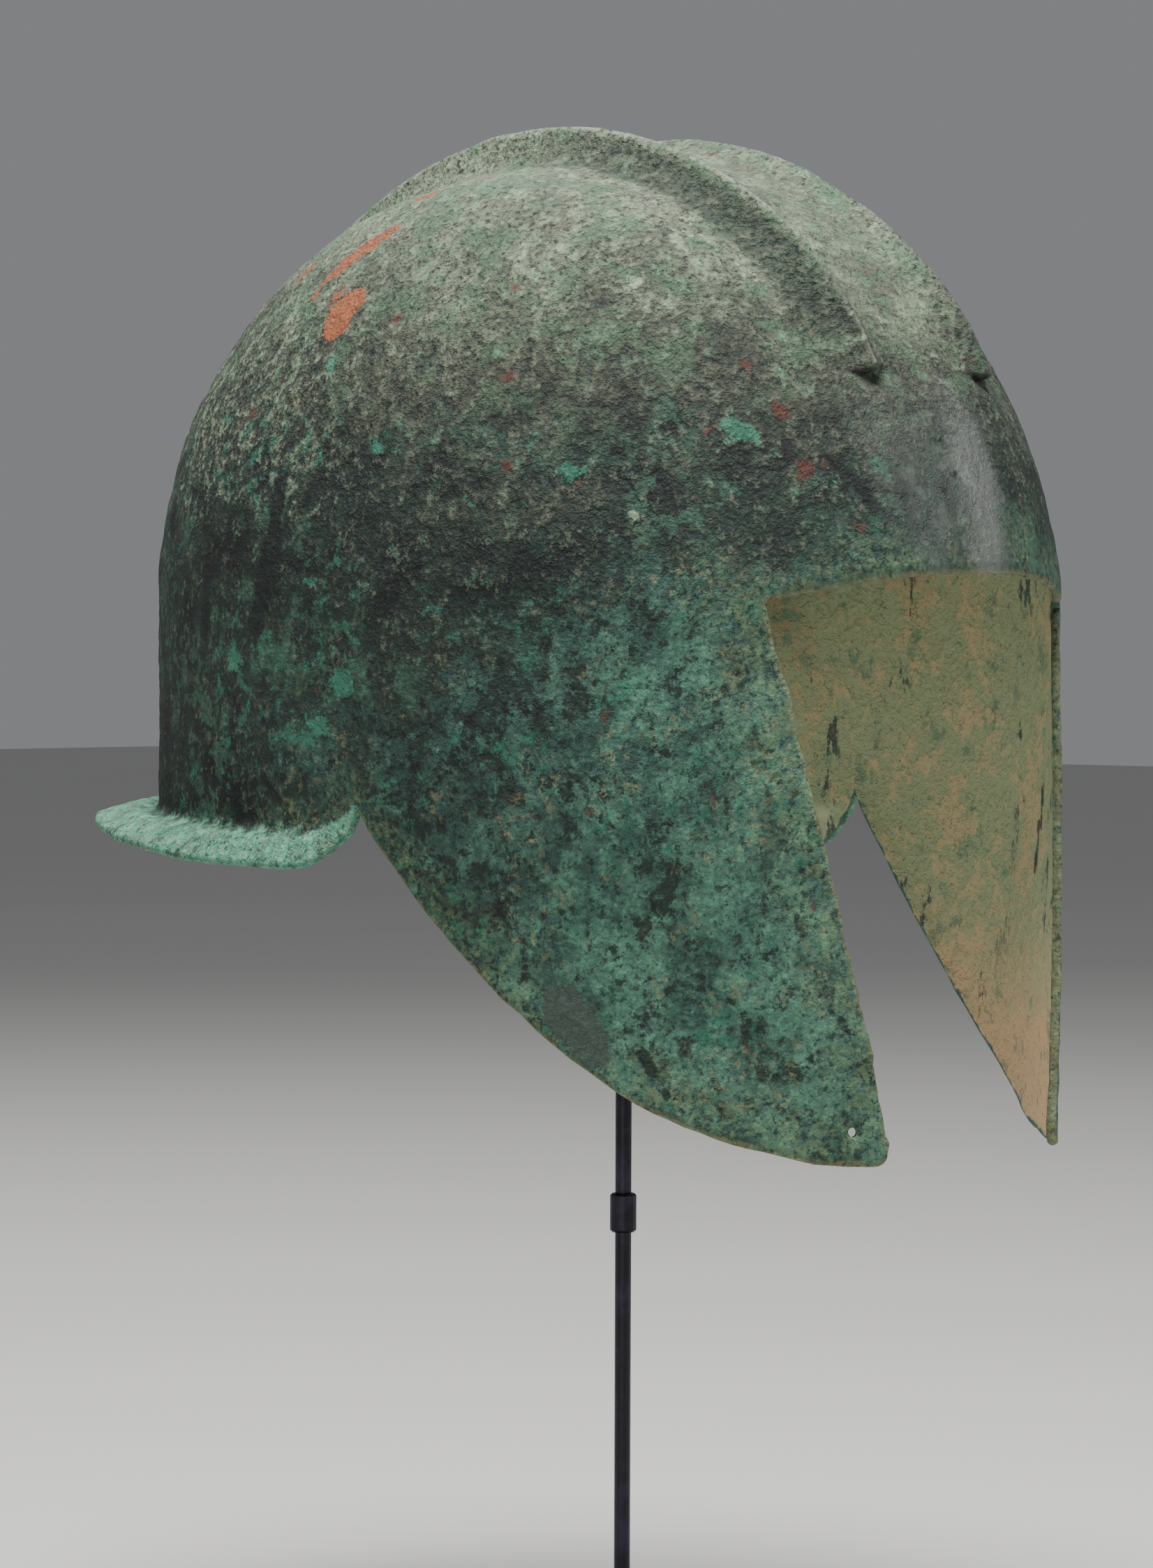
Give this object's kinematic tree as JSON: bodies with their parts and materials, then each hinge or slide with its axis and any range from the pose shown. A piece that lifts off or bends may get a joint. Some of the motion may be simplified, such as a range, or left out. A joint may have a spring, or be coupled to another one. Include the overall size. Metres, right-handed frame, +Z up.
{
  "type": "illyrian helmet on a display stand",
  "caption": "Open-faced bronze helmet with twin crest ridges, long pointed cheekpieces and a flared neck guard, on a thin black rod stand.",
  "frame": {"origin": "centre of the base plate's underside", "axes": "+Z up, the helmet faces -Y, the wearer's left is +X"},
  "size_m": [0.2212, 0.2811, 0.4251],
  "materials": {
    "patinated_bronze": "green-black corroded patina with copper-red patches",
    "black_metal": "satin black",
    "black_paint": "matt black"
  },
  "bodies": {
    "root": {"helmet": "patinated_bronze", "stand_rod": "black_metal", "rod_collar": "black_metal", "crown_rest": "black_metal", "base": "black_paint"}
  },
  "joints": []
}
